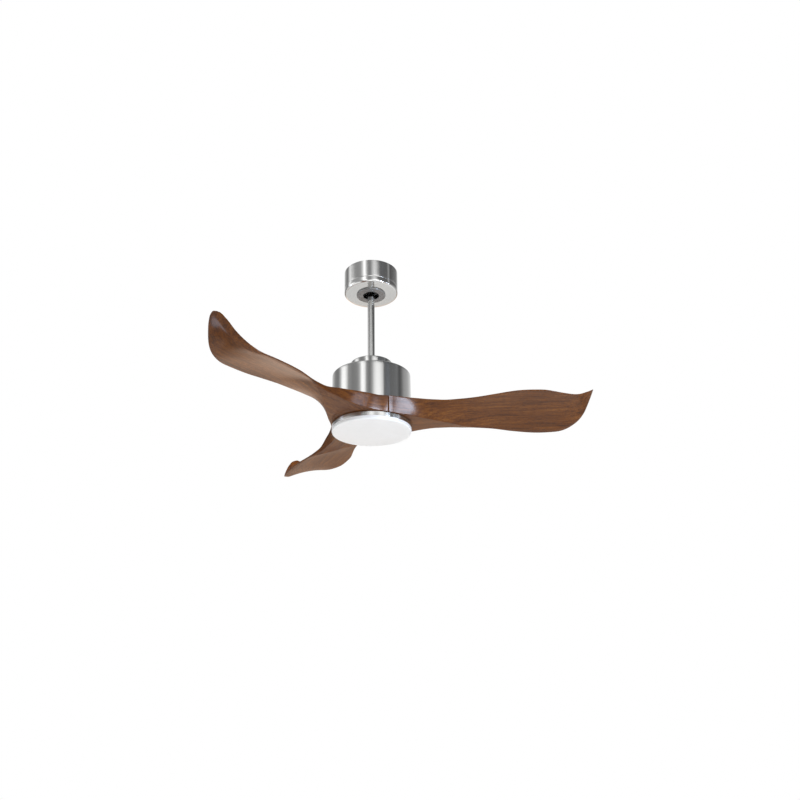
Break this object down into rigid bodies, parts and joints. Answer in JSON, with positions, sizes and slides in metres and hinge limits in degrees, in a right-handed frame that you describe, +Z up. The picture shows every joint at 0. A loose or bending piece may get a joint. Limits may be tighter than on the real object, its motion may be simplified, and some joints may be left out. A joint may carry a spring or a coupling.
{
  "type": "ceiling fan with light",
  "caption": "Ceiling fan on a downrod: round canopy, brushed drum motor housing, twisted walnut blades joined in a hub ring, and a flat round opal light below.",
  "frame": {"origin": "centre of the hanger bracket's ceiling face", "axes": "+Z up, out of the ceiling face and along the downrod; X along the two ceiling slots; the bracket's open mouth faces -Y"},
  "size_m": [1.069, 1.1457, 0.5504],
  "materials": {
    "zinc_plated_steel": "satin zinc plate",
    "brushed_nickel": "brushed nickel",
    "polished_nickel": "polished nickel plate",
    "screw_steel": "zinc-plated screws and turned steel",
    "bearing_steel": "ground bearing steel",
    "lamination_steel": "stacked electrical steel",
    "cast_aluminium": "die-cast, as cast",
    "brass": "turned brass",
    "copper_enamel": "enamelled copper wire",
    "ferrite": "sintered ferrite",
    "ring_grey": "mid-grey matt cast",
    "black_plastic": "moulded matt black",
    "white_plastic": "moulded white nylon",
    "board_green": "solder mask",
    "board_white": "white solder mask on aluminium",
    "capacitor_can": "sleeved aluminium can",
    "led_yellow": "phosphor under silicone",
    "lead_insulation": "PVC insulation",
    "rubber_black": "moulded rubber",
    "walnut": "dark walnut, satin lacquer",
    "opal_diffuser": "opal acrylic, satin"
  },
  "bodies": {
    "ceiling_mount": {"hanger_bracket": "zinc_plated_steel", "canopy": "brushed_nickel", "canopy_ring": "ring_grey", "canopy_screws": "screw_steel", "canopy_spacers": "zinc_plated_steel", "receiver_case": "black_plastic", "receiver_board": "board_green", "terminal_block": "white_plastic", "terminal_screws": "screw_steel", "earth_screw": "brass"},
    "ball_liner": {"ball_liner": "white_plastic"},
    "hung_frame": {"hanger_ball": "black_plastic", "ball_pin": "screw_steel", "ball_set_screw": "screw_steel", "downrod": "polished_nickel", "rod_grommet": "rubber_black", "supply_leads": "lead_insulation", "motor_coupling": "zinc_plated_steel", "coupling_pin": "screw_steel", "coupling_clip": "screw_steel", "coupling_set_screws": "screw_steel", "coupling_cover": "brushed_nickel", "motor_bracket": "zinc_plated_steel", "bracket_screws": "screw_steel", "motor_housing": "brushed_nickel", "housing_screws": "screw_steel", "driver_board": "board_green", "board_standoffs": "white_plastic", "capacitors": "capacitor_can", "led_driver": "white_plastic", "motor_shaft": "screw_steel", "bearing_inner_races": "bearing_steel", "shaft_circlip": "bearing_steel", "stator_core": "lamination_steel", "stator_windings": "copper_enamel", "light_support": "zinc_plated_steel", "light_nut": "screw_steel", "light_pan": "brushed_nickel", "pan_screws": "screw_steel", "led_board": "board_white", "leds": "led_yellow", "led_board_screws": "screw_steel", "light_connector": "white_plastic"},
    "rotor": {"bearing_outer_races": "bearing_steel", "bearing_balls": "bearing_steel", "upper_rotor_cover": "cast_aluminium", "lower_rotor_cover": "cast_aluminium", "rotor_yoke": "lamination_steel", "rotor_magnets": "ferrite", "hub_plate": "zinc_plated_steel", "rotor_screws": "screw_steel", "blade_1": "walnut", "blade_2": "walnut", "blade_3": "walnut", "blade_screws": "screw_steel"},
    "diffuser": {"diffuser": "opal_diffuser"}
  },
  "joints": [
    {"name": "liner_rock", "type": "hinge", "parent": "ceiling_mount", "child": "ball_liner", "pos_m": [0, 0, -0.042], "axis": [1, 0, 0], "range_deg": [-12, 12]},
    {"name": "ball_tilt", "type": "hinge", "parent": "ball_liner", "child": "hung_frame", "pos_m": [0, 0, -0.042], "axis": [0, 1, 0], "range_deg": [-12, 12]},
    {"name": "rotor_spin", "type": "hinge", "parent": "hung_frame", "child": "rotor", "pos_m": [0, 0, -0.45], "axis": [0, 0, 1], "continuous": true},
    {"name": "diffuser_twist", "type": "hinge", "parent": "hung_frame", "child": "diffuser", "pos_m": [0, 0, -0.54], "axis": [0, 0, 1], "range_deg": [0, 22]}
  ]
}
